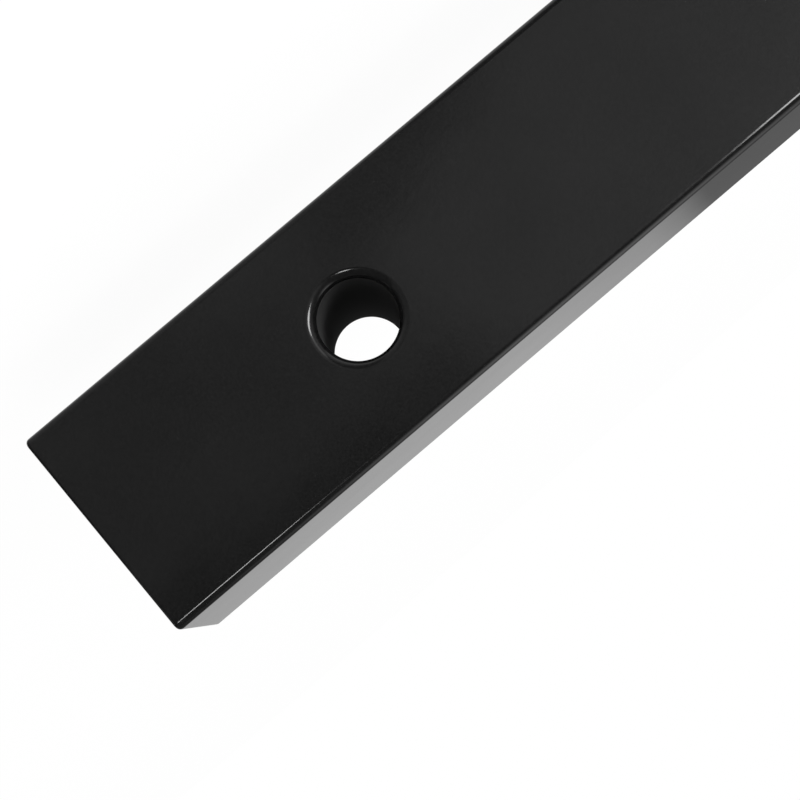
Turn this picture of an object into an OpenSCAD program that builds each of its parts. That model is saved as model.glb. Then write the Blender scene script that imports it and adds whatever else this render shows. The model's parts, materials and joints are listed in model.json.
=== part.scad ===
/* [Shank] */
// Width and height of the solid square bar
bar_width = 50.8; // [38:0.1:64]
// Length of the bar, from its free end to the plate
bar_length = 228.6; // [190:0.1:320]
// Radius along the bar's four long edges
bar_edge_radius = 1.8; // [0.8:0.1:4]
// Radius round the bar's free end
bar_end_radius = 1.1; // [0.5:0.1:3]

/* [Pin hole] */
// Diameter of the cross hole for the hitch pin
pin_hole_diameter = 17.3; // [14:0.1:24]
// Distance from the free end to the pin hole's centre
pin_from_end = 69; // [40:0.1:90]
// Width of the rounded lip at each mouth of the pin hole
pin_lip = 2.2; // [0.4:0.1:3.5]

/* [Plate] */
// Thickness of the upright plate
plate_thickness = 15.9; // [10:0.1:25]
// Steel left between the outer hole centres and the plate's edges
plate_margin = 19.05; // [15:0.05:32]
// Radius of the plate's four corners
plate_corner_radius = 9.5; // [4:0.1:14]
// Radius along the plate's cut edges
plate_edge_radius = 0.8; // [0.3:0.1:2]

/* [Hook holes] */
// Diameter of each hook bolt hole
hook_hole_diameter = 13.5; // [10:0.1:17]
// Distance between the two columns of holes
hole_column_pitch = 85.7; // [80:0.1:110]
// Distance from one row of holes to the next
hole_row_pitch = 44.5; // [38:0.1:60]
// Number of rows of holes
hole_rows = 4; // [3:1:6]
// Width of the rounded lip at each mouth of a hook bolt hole
hook_hole_lip = 0.8; // [0.2:0.1:2]

/* [Gusset] */
// Thickness of the triangular rib
gusset_thickness = 12.7; // [8:0.1:19]
// Length of the rib along the top of the bar
gusset_length = 42; // [34:0.5:60]
// Height of the rib up the plate
gusset_height = 78; // [50:0.5:92]
// Height of the blunt toe at each end of the rib
gusset_toe = 9; // [5:0.5:14]
// Clip across the rib's inner corner, clear of the bar's weld
gusset_clip = 13; // [11:0.5:18]
// Radius along the rib's outer edges
gusset_edge_radius = 0.8; // [0.3:0.1:2]

/* [Welds] */
// Leg of the fillet weld all round the bar
shank_weld_leg = 6.4; // [4:0.1:8]
// Leg of the fillet welds along the rib
gusset_weld_leg = 5; // [3:0.1:6]
// Distance from one ripple of a weld to the next
ripple_pitch = 3; // [2.4:0.1:6]
// Height of the ripples on a weld
ripple_height = 0.35; // [0.1:0.05:0.8]

/* [Hidden] */
coat_black = "#1b1b1c";
weld_black = "#232324";
round_steps = 96;
// How far a cutter runs past the face that it cuts
cut_past = 1;

// The origin is the pin hole's centre, on the bar's axis, and the free end points along +X.
bar_half = bar_width / 2;
free_end_x = pin_from_end;
plate_face_x = pin_from_end - bar_length;

// The two lowest rows of holes stand evenly above and below the bar's axis.
lowest_row_z = -hole_row_pitch / 2;
plate_bottom_z = lowest_row_z - plate_margin;
plate_width = hole_column_pitch + 2 * plate_margin;
plate_height = (hole_rows - 1) * hole_row_pitch + 2 * plate_margin;

// Along a bead: mesh steps to one ripple, and how far a ripple's crown trails behind its edges
steps_per_ripple = 4;
ripple_lag = 0.7;
// Across a bead: how many steps its face has, and how much it swells over a flat face
face_steps = 4;
bead_swell = 0.16;
// A bead of the rib starts and stops this far short of the rib's corners
bead_margin = 1.5;
// Size of a bead at its very end, as a share of its full size
bead_end_share = 0.45;

// Height of the ripples at a distance s along a bead and a share t across its face
function ripple(s, t) =
    ripple_height * (0.5 + 0.5 * cos(360 * (s / ripple_pitch - ripple_lag * sin(180 * t))));

// Bead section in polar form about its root, from the toe on one plate to the toe on the other
function bead_section(leg, s, share) = concat(
    [[0, 0]],
    [for (i = [0 : face_steps])
        let (
            t = i / face_steps,
            swell = 1 + bead_swell * sin(180 * t),
            reach = share * (leg * swell / (cos(90 * t) + sin(90 * t)) + ripple(s, t))
        )
        [reach * cos(90 * t), reach * sin(90 * t)]
    ]
);

// Faces of a bead with n points to a section: two triangles to a cell, and a cap at each end
function bead_faces(stations, n) = concat(
    [
        for (i = [0 : stations - 2], j = [0 : n - 1])
            let (
                here = i * n,
                next = here + n,
                k = (j + 1) % n
            )
            each [
                [here + j, here + k, next + k],
                [here + j, next + k, next + j]
            ]
    ],
    [[for (j = [0 : n - 1]) n - 1 - j]],
    [[for (j = [0 : n - 1]) (stations - 1) * n + j]]
);

// Share of the full section near a bead's two ends
function end_share(s, length, leg) =
    let (d = min(s, length - s, leg) / leg)
    bead_end_share + (1 - bead_end_share) * sqrt(d * (2 - d));

// Where a weld run round the bar stands at a distance u along it: root point and outward normal.
// A run covers one flat side of the bar and the round corner after it.
function run_station(u, flat, corner_arc, root_radius) =
    let (
        a = u <= flat ? 0 : 90 * (u - flat) / corner_arc,
        r = u <= flat ? bar_edge_radius : root_radius
    )
    [
        [min(u, flat) - flat / 2 + r * sin(a), flat / 2 + r * cos(a)],
        [sin(a), cos(a)]
    ];

module rounded_square(w, h, r) {
    square([w - 2 * r, h], center = true);
    square([w, h - 2 * r], center = true);
    for (x = [-1, 1], y = [-1, 1])
        translate([x * (w / 2 - r), y * (h / 2 - r)])
            circle(r, $fn = round_steps);
}

// Plan of the bar, with its long axis along X and rounded corners at the free end only
module bar_plan() {
    r = bar_end_radius;
    translate([plate_face_x, -bar_half])
        square([bar_length - r, bar_width]);
    translate([free_end_x - r - cut_past, r - bar_half])
        square([r + cut_past, bar_width - 2 * r]);
    for (y = [-1, 1])
        translate([free_end_x - r, y * (bar_half - r)])
            circle(r, $fn = round_steps);
}

// Cutter for a drilled hole of radius r through a thickness t, from the origin along Z,
// with a rounded lip at both mouths
module drill(r, t, lip) {
    rotate_extrude($fn = round_steps)
        difference() {
            translate([0, -cut_past])
                square([r + lip, t + 2 * cut_past]);
            translate([r, lip])
                square([lip + cut_past, t - 2 * lip]);
            for (y = [lip, t - lip])
                translate([r + lip, y])
                    circle(lip, $fn = round_steps);
        }
}

// Solid square bar: its section, plan and side view meet in one rounded bar
module shank() {
    color(coat_black)
        difference() {
            intersection() {
                translate([plate_face_x, 0, 0])
                    rotate([90, 0, 90])
                        linear_extrude(bar_length)
                            rounded_square(bar_width, bar_width, bar_edge_radius);
                translate([0, 0, -bar_half])
                    linear_extrude(bar_width)
                        bar_plan();
                rotate([90, 0, 0])
                    translate([0, 0, -bar_half])
                        linear_extrude(bar_width)
                            bar_plan();
            }
            translate([0, bar_half, 0])
                rotate([90, 0, 0])
                    drill(pin_hole_diameter / 2, bar_width, pin_lip);
        }
}

// Half section of the plate, from its middle out to the given reach, with a rounded outer edge
module plate_profile(reach) {
    r = plate_edge_radius;
    square([plate_thickness, reach - r]);
    translate([r, 0])
        square([plate_thickness - 2 * r, reach]);
    for (x = [r, plate_thickness - r])
        translate([x, reach - r])
            circle(r, $fn = round_steps);
}

// Upright plate, drilled in two columns for the hook's four bolts at several heights
module mount_plate() {
    half_w = plate_width / 2;
    half_h = plate_height / 2;
    r = plate_corner_radius;
    color(coat_black)
        difference() {
            translate([plate_face_x - plate_thickness, 0, plate_bottom_z + half_h]) {
                for (side = [0, 1]) {
                    mirror([0, side, 0])
                        translate([0, 0, r - half_h])
                            linear_extrude(plate_height - 2 * r)
                                plate_profile(half_w);
                    mirror([0, 0, side])
                        translate([0, half_w - r, 0])
                            rotate([90, 0, 0])
                                linear_extrude(plate_width - 2 * r)
                                    plate_profile(half_h);
                }
                for (y = [-1, 1], z = [-1, 1])
                    translate([0, y * (half_w - r), z * (half_h - r)])
                        rotate([0, 90, 0])
                            rotate_extrude($fn = round_steps)
                                rotate(-90)
                                    mirror([1, 0])
                                        plate_profile(r);
            }
            for (side = [-1, 1], row = [0 : hole_rows - 1])
                translate([
                    plate_face_x - plate_thickness,
                    side * hole_column_pitch / 2,
                    lowest_row_z + row * hole_row_pitch
                ])
                    rotate([0, 90, 0])
                        drill(hook_hole_diameter / 2, plate_thickness, hook_hole_lip);
        }
}

// Outer edge of the rib, from the bar's top up to the plate, as distances from the plate and the bar
function gusset_outer_edge() = [
    [gusset_length, 0],
    [gusset_length, gusset_toe],
    [gusset_toe, gusset_height],
    [0, gusset_height]
];

// Cutter that rounds one edge of a flat piece, the line from p to q on the piece's upper face.
// The piece lies to the left of the line.
module edge_rounder(p, q, r) {
    run = q - p;
    translate([p[0], p[1], 0])
        rotate(atan2(run[1], run[0]))
            rotate([90, 0, 90])
                translate([0, 0, -cut_past])
                    linear_extrude(norm(run) + 2 * cut_past)
                        difference() {
                            translate([-cut_past, -r])
                                square([r + cut_past, r + cut_past]);
                            translate([r, -r])
                                circle(r, $fn = round_steps);
                        }
}

// Triangular rib with blunt toes, clipped at its inner corner and rounded along its outer edges
module gusset() {
    edge = gusset_outer_edge();
    color(coat_black)
        translate([plate_face_x, 0, bar_half])
            rotate([90, 0, 0])
                difference() {
                    translate([0, 0, -gusset_thickness / 2])
                        linear_extrude(gusset_thickness)
                            polygon(concat([[0, gusset_clip], [gusset_clip, 0]], edge));
                    for (side = [0, 1], i = [0 : len(edge) - 2])
                        mirror([0, 0, side])
                            translate([0, 0, gusset_thickness / 2])
                                edge_rounder(edge[i], edge[i + 1], gusset_edge_radius);
                }
}

// Rippled fillet weld along one side of the bar and round its next corner, on the plate's face.
// The four runs are quarter turns of one shape and meet end to end.
module shank_weld_run(quarter) {
    flat = bar_width - 2 * bar_edge_radius;
    corner_arc = PI / 2 * (bar_edge_radius + shank_weld_leg / 2);
    length = flat + corner_arc;
    steps = round(length / ripple_pitch) * steps_per_ripple;
    // Just wide enough that the chords of the mesh clear the bar's round edge
    root_radius = bar_edge_radius / cos(45 / max(1, floor(corner_arc * steps / length)));
    points = [
        for (i = [0 : steps])
            let (station = run_station(i * length / steps, flat, corner_arc, root_radius))
            for (q = bead_section(shank_weld_leg, i * ripple_pitch / steps_per_ripple, 1))
                [
                    plate_face_x + q[1],
                    station[0][0] + q[0] * station[1][0],
                    station[0][1] + q[0] * station[1][1]
                ]
    ];
    color(weld_black)
        rotate([-90 * quarter, 0, 0])
            polyhedron(points, bead_faces(steps + 1, face_steps + 2));
}

module shank_weld_top() {
    shank_weld_run(0);
}

module shank_weld_left() {
    shank_weld_run(1);
}

module shank_weld_bottom() {
    shank_weld_run(2);
}

module shank_weld_right() {
    shank_weld_run(3);
}

// Straight rippled bead along +X, with one leg along +Y and the other along +Z
module straight_bead(leg, length) {
    steps = ceil(length / ripple_pitch) * steps_per_ripple;
    points = [
        for (i = [0 : steps])
            let (s = i * length / steps)
            for (q = bead_section(leg, s, end_share(s, length, leg)))
                [s, q[0], q[1]]
    ];
    color(weld_black)
        polyhedron(points, bead_faces(steps + 1, face_steps + 2));
}

// Bead between the rib's left side and the plate, from just over the clip to the rib's top
module gusset_plate_weld_left() {
    start = gusset_clip + bead_margin;
    translate([plate_face_x, gusset_thickness / 2, bar_half + start])
        mirror([1, 0, -1])
            straight_bead(gusset_weld_leg, gusset_height - bead_margin - start);
}

// Bead between the rib's left side and the bar's top, from just past the clip to the rib's toe
module gusset_shank_weld_left() {
    start = gusset_clip + bead_margin;
    translate([plate_face_x + start, gusset_thickness / 2, bar_half])
        straight_bead(gusset_weld_leg, gusset_length - bead_margin - start);
}

module gusset_plate_weld_right() {
    mirror([0, 1, 0])
        gusset_plate_weld_left();
}

module gusset_shank_weld_right() {
    mirror([0, 1, 0])
        gusset_shank_weld_left();
}

shank();
mount_plate();
gusset();
shank_weld_top();
shank_weld_left();
shank_weld_bottom();
shank_weld_right();
gusset_plate_weld_left();
gusset_plate_weld_right();
gusset_shank_weld_left();
gusset_shank_weld_right();
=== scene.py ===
import json
import math

import bmesh
import bpy
from mathutils import Matrix, Vector
from mathutils.geometry import delaunay_2d_cdt


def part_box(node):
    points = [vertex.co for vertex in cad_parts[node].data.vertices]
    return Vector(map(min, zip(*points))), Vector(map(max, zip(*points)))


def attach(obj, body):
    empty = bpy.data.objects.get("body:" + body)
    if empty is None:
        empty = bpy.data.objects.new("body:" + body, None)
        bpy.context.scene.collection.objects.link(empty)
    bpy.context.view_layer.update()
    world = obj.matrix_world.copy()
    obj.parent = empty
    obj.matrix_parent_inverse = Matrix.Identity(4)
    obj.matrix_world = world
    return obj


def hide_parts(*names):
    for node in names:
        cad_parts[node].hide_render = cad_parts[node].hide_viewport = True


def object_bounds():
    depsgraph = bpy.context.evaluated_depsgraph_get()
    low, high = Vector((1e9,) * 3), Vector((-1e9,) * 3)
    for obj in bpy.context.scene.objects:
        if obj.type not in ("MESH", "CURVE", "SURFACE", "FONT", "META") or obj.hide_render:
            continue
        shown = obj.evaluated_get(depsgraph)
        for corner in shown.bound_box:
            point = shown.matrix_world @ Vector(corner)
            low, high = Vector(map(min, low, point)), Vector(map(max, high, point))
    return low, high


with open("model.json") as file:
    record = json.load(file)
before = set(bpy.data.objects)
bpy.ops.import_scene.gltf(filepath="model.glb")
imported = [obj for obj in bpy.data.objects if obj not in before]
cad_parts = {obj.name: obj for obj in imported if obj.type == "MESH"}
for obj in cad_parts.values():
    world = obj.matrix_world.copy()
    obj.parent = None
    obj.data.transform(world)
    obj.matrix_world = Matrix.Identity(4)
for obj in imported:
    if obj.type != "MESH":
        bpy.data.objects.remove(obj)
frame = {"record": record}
cad_low, cad_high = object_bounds()

MM = 0.001

# Sizes of the rounded and cut edges, the same as in the part's source
BAR_EDGE_RADIUS = 1.8 * MM
BAR_END_RADIUS = 1.1 * MM
PIN_LIP = 2.2 * MM
PLATE_CORNER_RADIUS = 9.5 * MM
PLATE_EDGE_RADIUS = 0.8 * MM
HOOK_HOLE_LIP = 0.8 * MM
RIB_CLIP = 13 * MM
RIB_TOE = 9 * MM
RIB_EDGE_RADIUS = 0.8 * MM

# Weld beads
BAR_WELD_LEG = 6.4 * MM
RIB_WELD_LEG = 5.0 * MM
RIPPLE_PITCH = 3.0 * MM
RIPPLE_HEIGHT = 0.35 * MM
RIPPLE_LAG = 0.7
RIPPLE_WANDER = 0.5
RIPPLE_WANDER_LENGTH = 14 * MM
BEAD_SWELL = 0.16
RIB_BEAD_MARGIN = 1.5 * MM
# Smallest size of a bead at its round ends, as a share, and how much its sections crowd there
BEAD_LEAST_SHARE = 0.02
BEAD_CROWDING = 0.2
# Where each bead's wander is read in the noise
BAR_BEAD_SEED = 3.0
RIB_PLATE_BEAD_SEED = 5.0
RIB_BAR_BEAD_SEED = 8.0

# How finely round edges are cut into faces
EDGE_STEPS = 8
HOLE_STEPS = 128
CORNER_STEPS = 12
BEAD_FACE_STEPS = 16
BEAD_STEPS_PER_RIPPLE = 14
FLOOR_STEPS = 96
TENT_SUBDIVISIONS = 5

# Points this close are made one, and edges this short are taken away
SAME_POINT = 0.0002 * MM
NO_LENGTH = 0.0001 * MM
# Distance below which the pierced sheets' triangulation takes two points as one, in metres
SHEET_TOLERANCE = 1e-7
# Edges that turn by more than this, in degrees, are shaded sharp
SHARP_ANGLE = 40
BEAD_SHARP_ANGLE = 75
# Say of the large faces in the shading, where 50 is neutral and 100 is all
LARGE_FACE_WEIGHT = 100

# Powder coat: widths of its clouds and specks, the specks' share, and the noise's detail
CLOUD_WIDTH = 28 * MM
SPECK_WIDTH = 0.5 * MM
SPECK_SHARE = 0.6
COAT_DETAIL = 3.0
# The part of the noise that is stretched over the whole change of tone
COAT_CONTRAST = (0.3, 0.7)
COAT_IOR = 1.5
# Width and noise detail of the bumps: slow waves of the rolled steel, orange peel, grain of the powder
BUMPS = [(20 * MM, 1.0), (2.2 * MM, 2.0), (0.4 * MM, 1.0)]
BUMP_ROUGHNESS = 0.45
# Bore: width and detail of its mottling, and what is left of its gloss
BORE_CLOUD_WIDTH = 5 * MM
BORE_DETAIL = 4.0
BORE_GLOSS = 0.02
# The bore's coat starts this deep in its mouths, on faces this close to its wall
BORE_COAT_DEPTH = PIN_LIP / 2
BORE_COAT_REACH = PIN_LIP / 50

# The photograph's camera: where it stands, how it is turned in degrees, its lens, and what it can see
CAMERA_AT = (19.532 * MM, -347.64 * MM, 56.126 * MM)
CAMERA_TURN = (-81.2912, -40.2975, 177.032)
CAMERA_LENS = 71.51
CAMERA_SENSOR = 36.0
CAMERA_CLIP = (0.01, 20.0)

# Studio: light of the sky, the glowing share of the floor, and the sizes of floor and tent
WHITE = (1.0, 1.0, 1.0, 1.0)
SKY_LIGHT = 0.95
FLOOR_GLOW = 0.94
FLOOR_RADIUS = 6.0
TENT_RADIUS = 4.0
# Grey of the tent overhead, and the heights in degrees between which it begins
TENT_OVERHEAD = 0.12
TENT_OVERHEAD_RISE = (6, 42)
# Grey of the tent's low band by bearing, in degrees from the front towards the plate's end
TENT_TONES = [
    (-180, 0.6),
    (-150, 0.55),
    (-125, 0.05),
    (-60, 0.05),
    (-30, 0.14),
    (-1, 0.21),
    (6, 0.43),
    (10, 0.46),
    (25, 0.5),
    (33, 1.3),
    (42, 1.3),
    (52, 0.5),
    (60, 0.45),
    (120, 0.65),
    (145, 0.4),
    (158, 0.16),
    (163.2, 0.17),
    (165.2, 0.45),
    (168, 0.52),
    (172, 0.59),
    (180, 0.6),
]
# Grey of the tent's underside by height in degrees, and the heights between which it begins
TENT_UNDER_TONES = [(-90, 0.38), (-70, 0.3), (-50, 0.1), (-16, 0.06)]
TENT_UNDER_RISE = (-13.5, -19)
# Away from the front the underside is pale instead: its grey, and its share by bearing
TENT_PALE_FLOOR = 0.75
TENT_PALE_SHARES = [(-145, 1.0), (-115, 0.05), (-60, 0.05), (-35, 0.0), (35, 0.0), (75, 1.0)]
# Pale card straight past the free end: its grey, and the angles off the bar's axis where it fades
TENT_END_CARD = 0.6
TENT_END_CARD_REACH = (5, 10)
# Cloth in front of the free end: its grey by height in degrees
TENT_FRONT_TONES = [
    (-90, 0.42),
    (-60, 0.4),
    (-30, 0.24),
    (-14, 0.22),
    (-7.6, 0.22),
    (-7.1, 0.26),
    (-6.6, 0.18),
    (-6.1, 0.085),
    (2, 0.09),
    (20, 0.1),
    (90, 0.1),
]
# Bearings where the cloth begins and is whole at one side, and begins and is whole at the other
TENT_FRONT_BEARINGS = ((-80, -50), (10, 3))
# How far the cloth is turned towards the plate, in degrees, by height in degrees, and the most it can be
TENT_FRONT_SKEW = [(-13.8, 7), (-12.8, 5), (-11.7, 0), (-10.6, -3.5), (-7.9, -3.5), (-7.2, -1)]
TENT_MOST_SKEW = 10
# Pale spot low in front: its bearing and height and how far it reaches, in degrees, and its grey
TENT_SPOT_AT = (1.3, -15)
TENT_SPOT_REACH = 5.5
TENT_SPOT = 0.4
# Soft ceiling light: its middle along x and y overhead, how far it reaches, and its radiance
CEILING_MIDDLE = (-0.2, 0.1, 0.0)
CEILING_REACH = (0.4, 0.75)
CEILING_GLOW = 1.6
# Each lamp's name, bearing and height in degrees, distance, width, height and radiance, and
# whether the coat mirrors it
SOFTBOXES = [
    ("key_softbox", 41, 11, 1.6, 0.6, 0.6, 30, False),
    ("strip_by_free_end", -6.95, 13.9, 3.9, 0.416, 0.49, 14, True),
    ("strip_by_plate", 28.9, 9.2, 1.5, 0.38, 0.47, 12, True),
]


# Meshes


class Shell:
    """Points and faces of one piece, gathered before its mesh is made."""

    def __init__(self):
        self.points = []
        self.faces = []

    def loop(self, points):
        """Adds a ring of points. Returns their places."""
        first = len(self.points)
        self.points.extend(Vector(p) for p in points)
        return list(range(first, len(self.points)))

    def bridge(self, one, other, skip=()):
        """Joins two rings by a band of faces, but for the sides to skip."""
        count = len(one)
        for i in range(count):
            k = (i + 1) % count
            if i not in skip:
                self.faces.append((one[i], one[k], other[k], other[i]))

    def band(self, loops):
        """Joins each ring to the next."""
        for one, other in zip(loops, loops[1:]):
            self.bridge(one, other)

    def pierced(self, outline, holes, place):
        """A flat sheet with holes, all given as 2-D points. place puts such a point in space."""
        points = []
        edges = []
        for ring in (outline, *holes):
            first = len(points)
            points.extend(Vector(p) for p in ring)
            edges.extend((first + i, first + (i + 1) % len(ring)) for i in range(len(ring)))
        flat, _, triangles, *_ = delaunay_2d_cdt(points, edges, [], 0, SHEET_TOLERANCE)
        start = len(self.points)
        self.points.extend(Vector(place(p.x, p.y)) for p in flat)
        for triangle in triangles:
            middle = sum((flat[i] for i in triangle), Vector((0, 0))) / 3
            if inside(middle, outline) and not any(inside(middle, hole) for hole in holes):
                self.faces.append(tuple(start + i for i in triangle))

    def mesh(self, name):
        return mesh_from(self.points, self.faces, name)


def inside(point, ring):
    """True if a 2-D point lies inside a ring of 2-D points."""
    crossings = 0
    for i, a in enumerate(ring):
        b = ring[(i + 1) % len(ring)]
        if (a[1] > point.y) != (b[1] > point.y):
            if point.x < a[0] + (point.y - a[1]) * (b[0] - a[0]) / (b[1] - a[1]):
                crossings += 1
    return crossings % 2 == 1


def circle(centre, radius, count=HOLE_STEPS):
    """Points of a circle in 2-D."""
    turns = (2 * math.pi * i / count for i in range(count))
    return [(centre[0] + radius * math.cos(t), centre[1] + radius * math.sin(t)) for t in turns]


def rounded_outline(corners, radius, steps):
    """A convex outline with rounded corners, as a function of how far it is drawn in."""
    count = len(corners)
    points = [Vector(c) for c in corners]
    ways = [(points[(i + 1) % count] - points[i]).normalized() for i in range(count)]
    outs = [Vector((w.y, -w.x)) for w in ways]
    centres = []
    for i in range(count):
        before, after = outs[i - 1], outs[i]
        centres.append(points[i] - (before + after) * radius / (1 + before.dot(after)))

    def outline(inset):
        ring = []
        for i in range(count):
            start = math.atan2(outs[i - 1].y, outs[i - 1].x)
            turn = outs[i - 1].angle(outs[i])
            for k in range(steps + 1):
                t = start + turn * k / steps
                ring.append(centres[i] + Vector((math.cos(t), math.sin(t))) * (radius - inset))
        return ring

    return outline


def quarter():
    """Sine and cosine at even steps through a quarter turn."""
    turns = (math.pi / 2 * k / EDGE_STEPS for k in range(EDGE_STEPS + 1))
    return [(math.sin(t), math.cos(t)) for t in turns]


def rounded_wall(low, high, radius):
    """How far a wall's rings stand off it, and how deep they lie, with a rounded edge at low and high."""
    rings = [(radius * (1 - s), low + radius * (1 - c)) for s, c in quarter()]
    rings += [(radius * (1 - s), high - radius * (1 - c)) for s, c in reversed(quarter())]
    return rings


def drill(shell, radius, lip, low, high, place):
    """Wall of a drilled hole round (0, 0), with a rounded lip at both mouths."""
    shell.band(
        [
            shell.loop(place(u, v, depth) for u, v in circle((0.0, 0.0), radius + out))
            for out, depth in rounded_wall(low, high, lip)
        ]
    )


def slab(outline, low, high, edge, mouths, place):
    """A flat plate with rounded edges, its two faces pierced for drilled holes."""
    shell = Shell()
    shell.band(
        [
            shell.loop(place(p.x, p.y, depth) for p in outline(inset))
            for inset, depth in rounded_wall(low, high, edge)
        ]
    )
    for depth in (low, high):
        shell.pierced(outline(edge), mouths, lambda u, v: place(u, v, depth))
    return shell


def mesh_from(points, faces, name):
    mesh = bpy.data.meshes.new(name)
    mesh.from_pydata([tuple(p) for p in points], [], faces)
    return mesh


def closed(mesh, sharp_angle=SHARP_ANGLE):
    """Joins a mesh's borders, turns its faces outwards, and shades all but its real edges smooth."""
    work = bmesh.new()
    work.from_mesh(mesh)
    bmesh.ops.remove_doubles(work, verts=work.verts, dist=SAME_POINT)
    bmesh.ops.dissolve_degenerate(work, edges=work.edges, dist=NO_LENGTH)
    bmesh.ops.recalc_face_normals(work, faces=work.faces)
    for face in work.faces:
        face.smooth = True
    work.to_mesh(mesh)
    work.free()
    mesh.set_sharp_from_angle(angle=math.radians(sharp_angle))
    return mesh


def placed(name, data):
    obj = bpy.data.objects.new(name, data)
    bpy.context.scene.collection.objects.link(obj)
    return obj


def baked(obj):
    """Makes an object's modifiers part of its mesh."""
    bpy.context.view_layer.update()
    graph = bpy.context.evaluated_depsgraph_get()
    mesh = bpy.data.meshes.new_from_object(
        obj.evaluated_get(graph), preserve_all_data_layers=True, depsgraph=graph
    )
    obj.modifiers.clear()
    obj.data = mesh
    return obj


def weighted(obj):
    """Lets the large flat faces decide the shading along their borders."""
    normals = obj.modifiers.new("normals", "WEIGHTED_NORMAL")
    normals.weight = LARGE_FACE_WEIGHT
    normals.keep_sharp = True
    return baked(obj)


def stands_for(obj, slot, *nodes):
    """Puts a finished piece in place of its CAD nodes."""
    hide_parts(*nodes)
    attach(obj, "root")


# Materials


def to_linear(code):
    """Linear colour of an sRGB hex code."""
    parts = [int(code[i : i + 2], 16) / 255 for i in (1, 3, 5)]
    parts = [p / 12.92 if p <= 0.04045 else ((p + 0.055) / 1.055) ** 2.4 for p in parts]
    return (*parts, 1.0)


def add(tree, kind, inputs=None, **settings):
    """Adds a node. An input, by name or place, is a socket to link from or a plain value."""
    node = tree.nodes.new(kind)
    for key, value in settings.items():
        setattr(node, key, value)
    for key, value in (inputs or {}).items():
        if isinstance(value, bpy.types.NodeSocket):
            tree.links.new(value, node.inputs[key])
        else:
            node.inputs[key].default_value = value
    return node


def shaded(name):
    """An empty material, and its node tree."""
    material = bpy.data.materials.new(name)
    material.use_nodes = True
    material.node_tree.nodes.clear()
    return material, material.node_tree


def coat_surface(tree, place, share, tones, roughness, depths, extra):
    """A coat whose tone and roughness follow a share from 0 to 1, with bumps of the given depths.

    extra holds further inputs of the shader.
    """
    tone = add(
        tree,
        "ShaderNodeMix",
        {"Factor": share, 6: to_linear(tones[0]), 7: to_linear(tones[1])},
        data_type="RGBA",
    )
    rough = add(
        tree,
        "ShaderNodeMapRange",
        {"Value": share, "To Min": roughness[0], "To Max": roughness[1]},
    )
    links = {}
    for depth, (width, detail) in zip(depths, BUMPS):
        noise = add(
            tree,
            "ShaderNodeTexNoise",
            {
                "Vector": place,
                "Scale": 1 / width,
                "Detail": detail,
                "Roughness": BUMP_ROUGHNESS,
            },
        )
        bump = add(
            tree,
            "ShaderNodeBump",
            {"Height": noise.outputs["Fac"], "Distance": depth, **links},
        )
        links = {"Normal": bump.outputs["Normal"]}
    shader = add(
        tree,
        "ShaderNodeBsdfPrincipled",
        {
            "Base Color": tone.outputs[2],
            "Roughness": rough.outputs["Result"],
            "IOR": COAT_IOR,
            **links,
            **extra,
        },
    )
    add(tree, "ShaderNodeOutputMaterial", {"Surface": shader.outputs["BSDF"]})


def powder_coat(name, tones, roughness, depths):
    """Black powder coat with cloudy and fine variation between two tones and two roughnesses."""
    material, tree = shaded(name)
    place = add(tree, "ShaderNodeTexCoord").outputs["Object"]
    cloud, speck = (
        add(
            tree,
            "ShaderNodeTexNoise",
            {"Vector": place, "Scale": 1 / width, "Detail": COAT_DETAIL},
        ).outputs["Fac"]
        for width in (CLOUD_WIDTH, SPECK_WIDTH)
    )
    both = add(tree, "ShaderNodeMix", {"Factor": SPECK_SHARE, 2: cloud, 3: speck}).outputs[0]
    share = add(
        tree,
        "ShaderNodeMapRange",
        {"Value": both, "From Min": COAT_CONTRAST[0], "From Max": COAT_CONTRAST[1]},
    ).outputs["Result"]
    coat_surface(tree, place, share, tones, roughness, depths, {})
    return material


# Polyester powder coat, sprayed on shot-blasted steel and baked.
# It gives the eye a deep black that mirrors the studio at a slant, softened by a faint orange peel.
gloss_coat = powder_coat(
    "gloss_black_powder_coat",
    tones=("#040404", "#0e0e0e"),
    roughness=(0.09, 0.13),
    depths=(0.06 * MM, 0.008 * MM, 0.0015 * MM),
)

# The same coat over weld beads, where it lies thicker in the valleys and a little duller.
weld_coat = powder_coat(
    "gloss_black_powder_coat_on_weld",
    tones=("#070707", "#111111"),
    roughness=(0.18, 0.26),
    depths=(0.02 * MM, 0.01 * MM, 0.003 * MM),
)


def thin_coat_in_bore():
    """Powder hardly reaches into a deep hole, so the drilled wall is dull, dry and mottled.

    It gives the eye a hole that drinks the light, with a soft grey glow where a lamp looks in.
    """
    material, tree = shaded("dull_thin_powder_coat_in_bore")
    place = add(tree, "ShaderNodeTexCoord").outputs["Object"]
    cloud = add(
        tree,
        "ShaderNodeTexNoise",
        {"Vector": place, "Scale": 1 / BORE_CLOUD_WIDTH, "Detail": BORE_DETAIL},
    ).outputs["Fac"]
    coat_surface(
        tree,
        place,
        cloud,
        tones=("#242424", "#2e2e2e"),
        roughness=(0.8, 0.95),
        depths=(0.02 * MM, 0.01 * MM, 0.004 * MM),
        extra={"Specular IOR Level": BORE_GLOSS},
    )
    return material


# Bar


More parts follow.
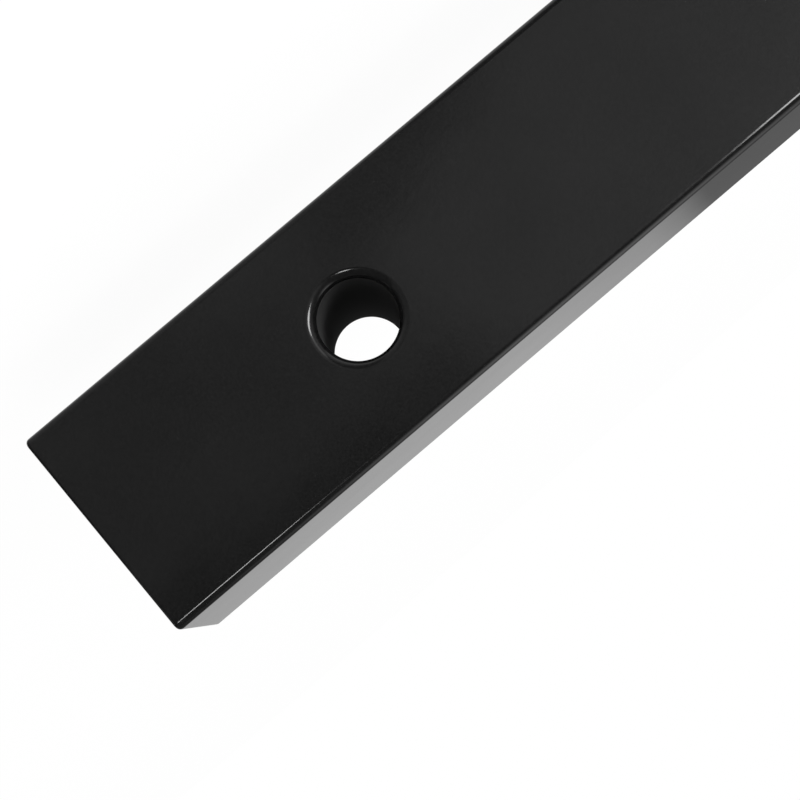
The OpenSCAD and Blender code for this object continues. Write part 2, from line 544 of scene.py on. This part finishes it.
def bar_piece():
    low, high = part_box("shank")
    half = high.z
    pin = next(m for m in frame["record"]["mounts"] if m["name"] == "pin_hole")
    radius = pin["dims"]["r_mm"] * MM
    corners = [(-half, -half), (half, -half), (half, half), (-half, half)]
    section = rounded_outline(corners, BAR_EDGE_RADIUS, EDGE_STEPS)
    shell = Shell()
    end = high.x - BAR_END_RADIUS
    rings = [(0.0, low.x)]
    rings += [(BAR_END_RADIUS * (1 - c), end + BAR_END_RADIUS * s) for s, c in quarter()]
    loops = [shell.loop((x, p.x, p.y) for p in section(inset)) for inset, x in rings]
    # The sides at -Y and +Y stay open between the first two rings, for the sheets with the pin hole
    sides = {k * (EDGE_STEPS + 1) - 1 for k in (2, 4)}
    shell.bridge(loops[0], loops[1], skip=sides)
    shell.band(loops[1:])
    shell.faces.append(tuple(loops[0]))
    shell.faces.append(tuple(loops[-1]))
    drill(shell, radius, PIN_LIP, low.y, high.y, lambda u, v, depth: (u, depth, v))
    flat = half - BAR_EDGE_RADIUS
    outline = [(low.x, -flat), (end, -flat), (end, flat), (low.x, flat)]
    mouth = circle((0.0, 0.0), radius + PIN_LIP)
    for y in (low.y, high.y):
        shell.pierced(outline, [mouth], lambda u, v: (u, y, v))
    mesh = closed(shell.mesh("bar"))
    mesh.materials.append(gloss_coat)
    mesh.materials.append(thin_coat_in_bore())
    for face in mesh.polygons:
        at = face.center
        on_wall = math.hypot(at.x, at.z) < radius + BORE_COAT_REACH
        if on_wall and abs(at.y) < high.y - BORE_COAT_DEPTH:
            face.material_index = 1
    stands_for(weighted(placed("bar", mesh)), "coat", "shank")


bar_piece()


# Geometry Nodes for what repeats


def new_tree(name, inputs):
    """A tree with named inputs of the given kinds, and the sockets that give them inside it."""
    tree = bpy.data.node_groups.new(name, "GeometryNodeTree")
    for label, kind in inputs.items():
        tree.interface.new_socket(label, in_out="INPUT", socket_type="NodeSocket" + kind)
    tree.interface.new_socket("Geometry", in_out="OUTPUT", socket_type="NodeSocketGeometry")
    given = add(tree, "NodeGroupInput").outputs
    return tree, {label: given[label] for label in inputs}


def end_tree(tree, geometry, finish):
    """Makes all that a tree has built real, gives it its finish, and puts it out."""
    real = add(tree, "GeometryNodeRealizeInstances", {"Geometry": geometry})
    coated = add(
        tree, "GeometryNodeSetMaterial", {"Geometry": real.outputs[0], "Material": finish}
    )
    add(tree, "NodeGroupOutput", {"Geometry": coated.outputs[0]})


def run_tree(obj, tree, inputs):
    """Runs a tree on an object, with its inputs given by name, and keeps the plain mesh."""
    modifier = obj.modifiers.new(tree.name, "NODES")
    modifier.node_group = tree
    for socket in tree.interface.items_tree:
        if socket.name in inputs:
            modifier[socket.identifier] = inputs[socket.name]
    return baked(obj)


# Plate


def hole_grid_tree():
    """Sets the wall of a drilled hole at each point of a grid, and joins these walls to a plate."""
    tree, given = new_tree(
        "hook_hole_grid",
        {
            "Plate": "Geometry",
            "Hole wall": "Object",
            "Column pitch": "Float",
            "Columns": "Int",
            "Row pitch": "Float",
            "Rows": "Int",
            "Middle height": "Float",
            "Finish": "Material",
        },
    )
    # The grid lies flat, its rows along X, until it is turned upright
    spans = []
    for pitch, count in (("Row pitch", "Rows"), ("Column pitch", "Columns")):
        gaps = add(tree, "ShaderNodeMath", {0: given[count], 1: 1.0}, operation="SUBTRACT")
        span = add(
            tree, "ShaderNodeMath", {0: gaps.outputs[0], 1: given[pitch]}, operation="MULTIPLY"
        )
        spans.append(span.outputs[0])
    grid = add(
        tree,
        "GeometryNodeMeshGrid",
        {
            "Size X": spans[0],
            "Size Y": spans[1],
            "Vertices X": given["Rows"],
            "Vertices Y": given["Columns"],
        },
    )
    lift = add(tree, "ShaderNodeCombineXYZ", {"Z": given["Middle height"]})
    upright = add(
        tree,
        "GeometryNodeTransform",
        {
            "Geometry": grid.outputs["Mesh"],
            "Translation": lift.outputs[0],
            "Rotation": (0.0, -math.pi / 2, 0.0),
        },
    )
    wall = add(tree, "GeometryNodeObjectInfo", {"Object": given["Hole wall"]})
    holes = add(
        tree,
        "GeometryNodeInstanceOnPoints",
        {"Points": upright.outputs["Geometry"], "Instance": wall.outputs["Geometry"]},
    )
    whole = add(tree, "GeometryNodeJoinGeometry", {0: given["Plate"]})
    tree.links.new(holes.outputs["Instances"], whole.inputs[0])
    end_tree(tree, whole.outputs[0], given["Finish"])
    return tree


def plate_piece():
    low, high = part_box("mount_plate")
    patterns = [m for m in frame["record"]["mounts"] if m["kind"] == "bolt_pattern"]
    columns = patterns[0]["dims"]["spacing_x_mm"] * MM
    rows = patterns[0]["dims"]["spacing_y_mm"] * MM
    radius = patterns[0]["dims"]["hole_r_mm"] * MM
    # Each pattern has two rows and shares one with its neighbour, so every height is taken once
    heights = sorted(m["pos_m"][2] + side * rows / 2 for m in patterns for side in (-1, 1))
    levels = [h for i, h in enumerate(heights) if i == 0 or h - heights[i - 1] > rows / 2]
    corners = [(low.y, low.z), (high.y, low.z), (high.y, high.z), (low.y, high.z)]
    outline = rounded_outline(corners, PLATE_CORNER_RADIUS, CORNER_STEPS)

    def place(u, v, depth):
        return (depth, u, v)

    wall = Shell()
    drill(wall, radius, HOOK_HOLE_LIP, low.x, high.x, place)
    mouths = [
        circle((side * columns / 2, level), radius + HOOK_HOLE_LIP)
        for side in (-1, 1)
        for level in levels
    ]
    body = slab(outline, low.x, high.x, PLATE_EDGE_RADIUS, mouths, place)
    hole_wall = placed("hole_wall", wall.mesh("hole_wall"))
    plate = placed("plate", body.mesh("plate"))
    run_tree(
        plate,
        hole_grid_tree(),
        {
            "Hole wall": hole_wall,
            "Column pitch": columns,
            "Columns": 2,
            "Row pitch": rows,
            "Rows": len(levels),
            "Middle height": (levels[0] + levels[-1]) / 2,
            "Finish": gloss_coat,
        },
    )
    bpy.data.objects.remove(hole_wall)
    closed(plate.data)
    stands_for(weighted(plate), "coat", "mount_plate")


plate_piece()


# Rib


def rib_piece():
    low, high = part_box("gusset")
    edge = [
        (low.x + RIB_CLIP, low.z),
        (high.x, low.z),
        (high.x, low.z + RIB_TOE),
        (low.x + RIB_TOE, high.z),
        (low.x, high.z),
        (low.x, low.z + RIB_CLIP),
    ]
    # The toe, the slanting edge and the top are rounded, and the two feet and the clip stay sharp
    rounded = {1, 2, 3}
    work = bmesh.new()
    weights = work.edges.layers.float.new("bevel_weight_edge")
    sides = [[work.verts.new((x, y, z)) for x, z in edge] for y in (low.y, high.y)]
    count = len(edge)
    for side in sides:
        work.faces.new(side)
        for i in rounded:
            work.edges.get((side[i], side[(i + 1) % count]))[weights] = 1.0
    for i in range(count):
        k = (i + 1) % count
        work.faces.new((sides[0][i], sides[0][k], sides[1][k], sides[1][i]))
    mesh = bpy.data.meshes.new("rib")
    work.to_mesh(mesh)
    work.free()
    mesh.materials.append(gloss_coat)
    rib = placed("rib", mesh)
    closed(mesh)
    bevel = rib.modifiers.new("rounded_edges", "BEVEL")
    bevel.limit_method = "WEIGHT"
    bevel.width = RIB_EDGE_RADIUS
    bevel.segments = EDGE_STEPS
    baked(rib)
    closed(rib.data)
    stands_for(weighted(rib), "coat", "gusset")


rib_piece()


# Weld beads


# What a bead carries at each point, and of which kind it is
BEAD_ATTRIBUTES = {"along": "FLOAT", "across": "FLOAT", "share": "FLOAT", "lift": "FLOAT_VECTOR"}


def ripple_tree():
    """Raises the ripples of a weld on a smooth bead, with a slow wander in their spacing.

    The bead carries, at each point, its distance along the run, its share across the face,
    the size of the bead there as a share, and the way in which a ripple rises.
    """
    tree, given = new_tree(
        "weld_ripples",
        {
            "Bead": "Geometry",
            "Ripple pitch": "Float",
            "Ripple height": "Float",
            "Ripple lag": "Float",
            "Wander": "Float",
            "Wander length": "Float",
            "Seed": "Float",
            "Finish": "Material",
        },
    )
    made = dict(given)
    for name, kind in BEAD_ATTRIBUTES.items():
        made[name] = add(
            tree, "GeometryNodeInputNamedAttribute", {"Name": name}, data_type=kind
        ).outputs[0]
    where = add(tree, "GeometryNodeInputPosition").outputs[0]
    scale = add(tree, "ShaderNodeMath", {0: 1.0, 1: given["Wander length"]}, operation="DIVIDE")
    made["noise"] = add(
        tree,
        "ShaderNodeTexNoise",
        {"Vector": where, "W": given["Seed"], "Scale": scale.outputs[0], "Detail": 1.0},
        noise_dimensions="4D",
    ).outputs["Fac"]
    # Each line says what it makes, by which operation, and from what
    for name, operation, *terms in (
        ("drift", "SUBTRACT", "noise", 0.5),
        ("drift", "MULTIPLY", "drift", "Wander"),
        ("crown", "MULTIPLY", "across", math.pi),
        ("crown", "SINE", "crown"),
        ("lag", "MULTIPLY", "crown", "Ripple lag"),
        ("turns", "DIVIDE", "along", "Ripple pitch"),
        ("turns", "SUBTRACT", "turns", "lag"),
        ("turns", "ADD", "turns", "drift"),
        ("wave", "MULTIPLY", "turns", 2 * math.pi),
        ("wave", "COSINE", "wave"),
        ("rise", "MULTIPLY_ADD", "wave", 0.5, 0.5),
        ("rise", "MULTIPLY", "rise", "Ripple height"),
        ("rise", "MULTIPLY", "rise", "share"),
    ):
        inputs = {i: made.get(term, term) for i, term in enumerate(terms)}
        made[name] = add(tree, "ShaderNodeMath", inputs, operation=operation).outputs[0]
    offset = add(
        tree, "ShaderNodeVectorMath", {0: made["lift"], "Scale": made["rise"]}, operation="SCALE"
    )
    moved = add(
        tree,
        "GeometryNodeSetPosition",
        {"Geometry": given["Bead"], "Offset": offset.outputs[0]},
    )
    end_tree(tree, moved.outputs[0], given["Finish"])
    return tree


weld_ripples = ripple_tree()


def bead(name, stations, leg, pitch, joined, seed, *nodes):
    """A weld bead over stations of root point, ways of both legs, distance along, and size as a share."""
    points = []
    faces = []
    carried = {key: [] for key in BEAD_ATTRIBUTES}
    for root, first, second, along, share in stations:
        for j in range(BEAD_FACE_STEPS + 1):
            t = j / BEAD_FACE_STEPS
            c, s = math.cos(math.pi / 2 * t), math.sin(math.pi / 2 * t)
            way = first * c + second * s
            reach = leg * share * (1 + BEAD_SWELL * math.sin(math.pi * t)) / (c + s)
            points.append(root + way * reach)
            for key, value in zip(BEAD_ATTRIBUTES, (along, t, share, way)):
                carried[key].append(value)
        points.append(root)
        for key, value in zip(BEAD_ATTRIBUTES, (along, 0.0, 0.0, first)):
            carried[key].append(value)
    width = BEAD_FACE_STEPS + 2
    count = len(stations)
    for i in range(count if joined else count - 1):
        k = (i + 1) % count
        for j in range(width):
            m = (j + 1) % width
            faces.append((i * width + j, i * width + m, k * width + m, k * width + j))
    if not joined:
        faces.append(tuple(range(width)))
        faces.append(tuple((count - 1) * width + j for j in range(width)))
    mesh = mesh_from(points, faces, name)
    for key, kind in BEAD_ATTRIBUTES.items():
        store = mesh.attributes.new(key, kind, "POINT")
        if kind == "FLOAT_VECTOR":
            store.data.foreach_set("vector", [v for way in carried[key] for v in way])
        else:
            store.data.foreach_set("value", carried[key])
    obj = placed(name, mesh)
    run_tree(
        obj,
        weld_ripples,
        {
            "Ripple pitch": pitch,
            "Ripple height": RIPPLE_HEIGHT,
            "Ripple lag": RIPPLE_LAG,
            "Wander": RIPPLE_WANDER,
            "Wander length": RIPPLE_WANDER_LENGTH,
            "Seed": seed,
            "Finish": weld_coat,
        },
    )
    closed(obj.data, BEAD_SHARP_ANGLE)
    stands_for(obj, "weld_coat", *nodes)


def bar_bead():
    """One bead round the whole bar, on the plate."""
    low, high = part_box("shank")
    flat = 2 * (high.z - BAR_EDGE_RADIUS)
    corner = math.pi / 2 * (BAR_EDGE_RADIUS + BAR_WELD_LEG / 2)
    length = flat + corner
    ripples = round(length / RIPPLE_PITCH)
    steps = ripples * BEAD_STEPS_PER_RIPPLE
    along_bar = Vector((1.0, 0.0, 0.0))
    stations = []
    for side in range(4):
        turned = Matrix.Rotation(-math.pi / 2 * side, 3, "X")
        for i in range(steps):
            u = i * length / steps
            a = max(0.0, (u - flat) / corner) * math.pi / 2
            way = Vector((0.0, math.sin(a), math.cos(a)))
            middle = Vector((low.x, min(u, flat) - flat / 2, flat / 2))
            root = middle + way * BAR_EDGE_RADIUS
            stations.append((turned @ root, turned @ way, along_bar, side * length + u, 1.0))
    nodes = [f"shank_weld_{side}" for side in ("top", "left", "bottom", "right")]
    bead("bar_weld", stations, BAR_WELD_LEG, length / ripples, True, BAR_BEAD_SEED, *nodes)


def rib_bead(name, start, way, first, second, length, seed):
    """A straight bead with round ends along one foot of the rib."""
    steps = round(length / RIPPLE_PITCH) * BEAD_STEPS_PER_RIPPLE
    stations = []
    for i in range(steps + 1):
        eased = 0.5 - 0.5 * math.cos(math.pi * i / steps)
        s = length * eased * BEAD_CROWDING + length * i / steps * (1 - BEAD_CROWDING)
        d = min(s, length - s, RIB_WELD_LEG) / RIB_WELD_LEG
        share = max(BEAD_LEAST_SHARE, math.sqrt(d * (2 - d)))
        stations.append((start + way * s, first, second, s, share))
    bead(name, stations, RIB_WELD_LEG, RIPPLE_PITCH, False, seed, name)


def rib_beads():
    low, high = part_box("gusset")
    begin = RIB_CLIP + RIB_BEAD_MARGIN
    along_x, along_z = Vector((1, 0, 0)), Vector((0, 0, 1))
    for i, (side, y, out) in enumerate((("left", high.y, 1), ("right", low.y, -1))):
        away = Vector((0, out, 0))
        rib_bead(
            f"gusset_plate_weld_{side}",
            Vector((low.x, y, low.z + begin)),
            along_z,
            away,
            along_x,
            high.z - low.z - RIB_BEAD_MARGIN - begin,
            RIB_PLATE_BEAD_SEED + i,
        )
        rib_bead(
            f"gusset_shank_weld_{side}",
            Vector((low.x + begin, y, low.z)),
            along_x,
            away,
            along_z,
            high.x - low.x - RIB_BEAD_MARGIN - begin,
            RIB_BAR_BEAD_SEED + i,
        )


bar_bead()
rib_beads()


# Studio


def camera_sees_white(tree):
    """1 for the rays that show the background: the camera's own, mirrored and transmitted ones."""
    path = add(tree, "ShaderNodeLightPath").outputs
    seen = path["Is Camera Ray"]
    for kind in ("Is Glossy Ray", "Is Transmission Ray"):
        seen = add(
            tree, "ShaderNodeMath", {0: seen, 1: path[kind]}, operation="MAXIMUM"
        ).outputs[0]
    return seen


def white_world():
    """White behind the object, and a softer white as light on it."""
    world = bpy.data.worlds.new("studio")
    bpy.context.scene.world = world
    world.use_nodes = True
    tree = world.node_tree
    tree.nodes.clear()
    strength = add(
        tree,
        "ShaderNodeMapRange",
        {"Value": camera_sees_white(tree), "To Min": SKY_LIGHT, "To Max": 1.0},
    )
    sky = add(
        tree, "ShaderNodeBackground", {"Color": WHITE, "Strength": strength.outputs["Result"]}
    )
    add(tree, "ShaderNodeOutputWorld", {"Surface": sky.outputs[0]})


def pale_floor():
    """A plain white floor that the object stands on. A share of it is real paper, for the shadow."""
    points = [(x, y, cad_low.z) for x, y in circle((0.0, 0.0), FLOOR_RADIUS, FLOOR_STEPS)]
    mesh = mesh_from(points, [tuple(range(FLOOR_STEPS))], "floor")
    material, tree = shaded("white_paper_floor")
    paper = add(tree, "ShaderNodeBsdfDiffuse", {"Color": to_linear("#f6f6f6")})
    glow = add(tree, "ShaderNodeEmission", {"Strength": 1.0})
    share = add(
        tree, "ShaderNodeMath", {0: camera_sees_white(tree), 1: FLOOR_GLOW}, operation="MULTIPLY"
    )
    both = add(
        tree, "ShaderNodeMixShader", {0: share.outputs[0], 1: paper.outputs[0], 2: glow.outputs[0]}
    )
    add(tree, "ShaderNodeOutputMaterial", {"Surface": both.outputs[0]})
    mesh.materials.append(material)
    floor = placed("floor", mesh)
    floor.visible_glossy = False


def direction(bearing, rise):
    """Unit vector from the object, with the bearing in degrees from the front towards the plate."""
    b, r = math.radians(bearing), math.radians(rise)
    return Vector((-math.sin(b) * math.cos(r), -math.cos(b) * math.cos(r), math.sin(r)))


def tent_tone(tree):
    """The tent's tone in each direction, laid together layer by layer."""
    place = add(tree, "ShaderNodeTexCoord").outputs["Object"]
    way = add(tree, "ShaderNodeVectorMath", {0: place}, operation="NORMALIZE").outputs[0]
    part = add(tree, "ShaderNodeSeparateXYZ", {"Vector": way}).outputs
    left, front = (
        add(tree, "ShaderNodeMath", {0: part[axis], 1: -1.0}, operation="MULTIPLY").outputs[0]
        for axis in ("X", "Y")
    )
    turn = add(tree, "ShaderNodeMath", {0: left, 1: front}, operation="ARCTAN2").outputs[0]
    rise = add(tree, "ShaderNodeMath", {0: part["Z"]}, operation="ARCSINE").outputs[0]

    ramps = {}
    for name, angle, reach, stops in (
        ("band", turn, 180, TENT_TONES),
        ("pale", turn, 180, TENT_PALE_SHARES),
        ("front", rise, 90, TENT_FRONT_TONES),
        ("under", rise, 90, TENT_UNDER_TONES),
        ("skew", rise, 90, [(at, skew / TENT_MOST_SKEW / 2 + 0.5) for at, skew in TENT_FRONT_SKEW]),
    ):
        span = add(
            tree,
            "ShaderNodeMapRange",
            {"Value": angle, "From Min": -math.radians(reach), "From Max": math.radians(reach)},
        )
        ramp = add(tree, "ShaderNodeValToRGB", {"Fac": span.outputs["Result"]})
        elements = ramp.color_ramp.elements
        elements.remove(elements[1])
        for i, (degrees, tone) in enumerate(stops):
            position = degrees / reach / 2 + 0.5
            stop = elements.new(position) if i else elements[0]
            stop.position = position
            stop.color = (tone, tone, tone, 1.0)
        ramps[name] = ramp.outputs["Color"]

    skew = add(
        tree,
        "ShaderNodeMapRange",
        {
            "Value": ramps["skew"],
            "To Min": -math.radians(TENT_MOST_SKEW),
            "To Max": math.radians(TENT_MOST_SKEW),
        },
    ).outputs["Result"]
    skewed = add(tree, "ShaderNodeMath", {0: turn, 1: skew}, operation="SUBTRACT").outputs[0]
    off_spot = add(
        tree, "ShaderNodeVectorMath", {0: way, 1: direction(*TENT_SPOT_AT)}, operation="DISTANCE"
    ).outputs["Value"]
    from_middle = add(
        tree, "ShaderNodeVectorMath", {0: way, 1: CEILING_MIDDLE}, operation="SUBTRACT"
    ).outputs[0]
    per_reach = (1 / CEILING_REACH[0], 1 / CEILING_REACH[1], 0.0)
    scaled = add(
        tree, "ShaderNodeVectorMath", {0: from_middle, 1: per_reach}, operation="MULTIPLY"
    ).outputs[0]
    off_middle = add(tree, "ShaderNodeVectorMath", {0: scaled}, operation="LENGTH").outputs["Value"]

    # Where each layer begins and where it is whole
    soft = {}
    for name, value, begins, whole in (
        ("overhead", rise, *map(math.radians, TENT_OVERHEAD_RISE)),
        ("under", rise, *map(math.radians, TENT_UNDER_RISE)),
        ("end_card", part["X"], *(math.cos(math.radians(a)) for a in reversed(TENT_END_CARD_REACH))),
        ("one_side", skewed, *map(math.radians, TENT_FRONT_BEARINGS[0])),
        ("other_side", skewed, *map(math.radians, TENT_FRONT_BEARINGS[1])),
        ("spot", off_spot, math.radians(TENT_SPOT_REACH), 0.0),
        ("ceiling", off_middle, 1.0, 0.0),
    ):
        soft[name] = add(
            tree,
            "ShaderNodeMapRange",
            {"Value": value, "From Min": begins, "From Max": whole},
            interpolation_type="SMOOTHSTEP",
        ).outputs["Result"]
    soft["upper_half"] = add(
        tree, "ShaderNodeMath", {0: part["Z"], 1: 0.0}, operation="GREATER_THAN"
    ).outputs[0]
    soft["pale"] = ramps["pale"]
    before, far_under, ceiling = (
        add(tree, "ShaderNodeMath", {0: soft[one], 1: soft[other]}, operation="MULTIPLY").outputs[0]
        for one, other in (("one_side", "other_side"), ("under", "pale"), ("ceiling", "upper_half"))
    )

    tone = ramps["band"]
    for share, layer in (
        (soft["overhead"], TENT_OVERHEAD),
        (soft["under"], ramps["under"]),
        (far_under, TENT_PALE_FLOOR),
        (soft["end_card"], TENT_END_CARD),
        (before, ramps["front"]),
        (soft["spot"], TENT_SPOT),
        (ceiling, CEILING_GLOW),
    ):
        if isinstance(layer, float):
            layer = (layer, layer, layer, 1.0)
        tone = add(
            tree, "ShaderNodeMix", {"Factor": share, 6: tone, 7: layer}, data_type="RGBA"
        ).outputs[2]
    return tone


def reflection_tent():
    """A big grey tent round the set, with the tones that the coat mirrors. The camera looks through it.

    Its low band has one grey for each bearing, and it is dark overhead but for a ceiling light. Its
    underside is dark towards the front and pale beyond. A darker cloth hangs in front of the free end,
    with a pale spot low on it, and a small pale card stands straight past that end.
    """
    material, tree = shaded("grey_tent_cloth")
    glow = add(tree, "ShaderNodeEmission", {"Color": tent_tone(tree), "Strength": 1.0})
    add(tree, "ShaderNodeOutputMaterial", {"Surface": glow.outputs[0]})
    material.cycles.emission_sampling = "NONE"
    work = bmesh.new()
    bmesh.ops.create_icosphere(work, subdivisions=TENT_SUBDIVISIONS, radius=TENT_RADIUS)
    mesh = bpy.data.meshes.new("reflection_tent")
    work.to_mesh(mesh)
    work.free()
    mesh.materials.append(material)
    tent = placed("reflection_tent", mesh)
    for ray in ("camera", "diffuse", "transmission", "volume_scatter", "shadow"):
        setattr(tent, "visible_" + ray, False)


def softbox(name, bearing, rise, distance, width, height, radiance, mirrored):
    """A rectangular lamp that faces the object."""
    light = bpy.data.lights.new(name, "AREA")
    light.shape = "RECTANGLE"
    light.size = width
    light.size_y = height
    light.energy = math.pi * width * height * radiance
    lamp = placed(name, light)
    lamp.visible_glossy = mirrored
    way = direction(bearing, rise)
    lamp.location = way * distance
    lamp.rotation_euler = way.to_track_quat("Z", "Y").to_euler()


white_world()
pale_floor()
reflection_tent()
for lamp in SOFTBOXES:
    softbox(*lamp)


# Camera


def photograph_camera():
    data = bpy.data.cameras.new("camera")
    data.sensor_width = CAMERA_SENSOR
    data.lens = CAMERA_LENS
    data.clip_start, data.clip_end = CAMERA_CLIP
    camera = placed("camera", data)
    camera.location = CAMERA_AT
    camera.rotation_euler = [math.radians(a) for a in CAMERA_TURN]
    bpy.context.scene.camera = camera


photograph_camera()
bpy.context.scene.view_settings.view_transform = "Standard"
